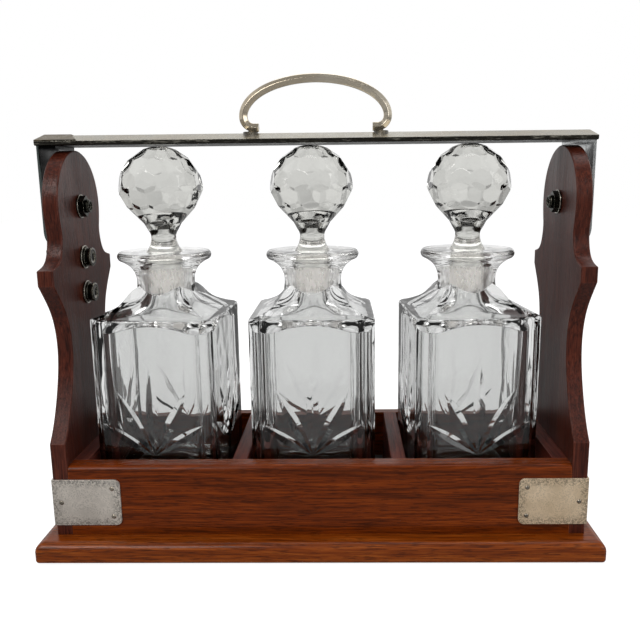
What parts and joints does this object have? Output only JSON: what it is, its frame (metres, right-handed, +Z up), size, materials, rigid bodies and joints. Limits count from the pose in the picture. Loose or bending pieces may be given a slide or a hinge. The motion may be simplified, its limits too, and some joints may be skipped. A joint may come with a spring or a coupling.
{
  "type": "tantalus",
  "caption": "Wooden tantalus with square cut-glass decanters held by a plated swinging locking bar with a bow carrying handle.",
  "frame": {"origin": "centre of the plinth's underside", "axes": "+X to the right seen from the front, along the length; +Z up; the front, with the measured corner plates, faces -Y"},
  "size_m": [0.3914, 0.1514, 0.3302],
  "materials": {
    "plinth_wood": "french polished mahogany, satin gloss",
    "tray_wood": "french polished mahogany, worn inside the tray",
    "upright_wood": "french polished mahogany, upright grain",
    "baize": "thin dark baize",
    "tarnished_plate": "silver plated brass, pitted and tarnished",
    "silver_plate": "silver plated brass, warm and slightly tarnished",
    "dark_steel": "darkened steel with rubbed edges",
    "lock_metal": "plated brass, dulled",
    "crystal": "clear lead crystal, polished, with a ground neck and plug"
  },
  "bodies": {
    "frame": {"plinth": "plinth_wood", "tray_floor": "tray_wood", "tray_front_board": "tray_wood", "tray_back_board": "tray_wood", "tray_left_end": "tray_wood", "tray_right_end": "tray_wood", "left_divider": "tray_wood", "right_divider": "tray_wood", "baize_pads": "baize", "left_upright": "upright_wood", "right_upright": "upright_wood", "front_left_corner_plate": "tarnished_plate", "front_right_corner_plate": "tarnished_plate", "rear_left_corner_plate": "tarnished_plate", "rear_right_corner_plate": "tarnished_plate", "corner_pins": "tarnished_plate", "frame_screws": "dark_steel", "left_pivot_bolt": "dark_steel", "right_pivot_bolt": "dark_steel", "pivot_washers": "dark_steel", "pivot_nuts": "dark_steel", "spacer_bushes": "dark_steel", "lock_case": "lock_metal", "lock_back_plate": "lock_metal", "lock_screws": "dark_steel", "lock_washers": "dark_steel", "left_decanter": "crystal", "middle_decanter": "crystal", "right_decanter": "crystal"},
    "swing_bar": {"locking_bar": "silver_plate", "bar_end_plate": "silver_plate", "left_arm": "silver_plate", "right_arm": "silver_plate", "arm_rivets": "silver_plate", "handle_bow": "silver_plate", "handle_feet": "silver_plate", "handle_screws": "silver_plate"},
    "lock_barrel": {"lock_barrel": "lock_metal"},
    "lock_bolt": {"lock_bolt": "lock_metal"},
    "left_stopper": {"left_stopper": "crystal"},
    "middle_stopper": {"middle_stopper": "crystal"},
    "right_stopper": {"right_stopper": "crystal"}
  },
  "joints": [
    {"name": "bar_swing", "type": "hinge", "parent": "frame", "child": "swing_bar", "pos_m": [0, 0, 0.2402], "axis": [-1, 0, 0], "range_deg": [0, 95]},
    {"name": "lock_turn", "type": "hinge", "parent": "frame", "child": "lock_barrel", "pos_m": [-0.19, 0, 0.187], "axis": [1, 0, 0], "range_deg": [0, 57.4]},
    {"name": "lock_bolt_slide", "type": "slide", "parent": "frame", "child": "lock_bolt", "axis": [0, 0, 1], "range_m": [0, 0.005]},
    {"name": "left_stopper_twist", "type": "hinge", "parent": "frame", "child": "left_stopper", "pos_m": [-0.1132, 0, 0.2], "axis": [0, 0, 1], "continuous": true},
    {"name": "middle_stopper_twist", "type": "hinge", "parent": "frame", "child": "middle_stopper", "pos_m": [-0.0045, 0, 0.2], "axis": [0, 0, 1], "continuous": true},
    {"name": "right_stopper_twist", "type": "hinge", "parent": "frame", "child": "right_stopper", "pos_m": [0.1084, 0, 0.2], "axis": [0, 0, 1], "continuous": true}
  ],
  "couplings": [
    {"joint": "lock_turn", "follows": "lock_bolt_slide", "rad_per_m": 200.3}
  ]
}
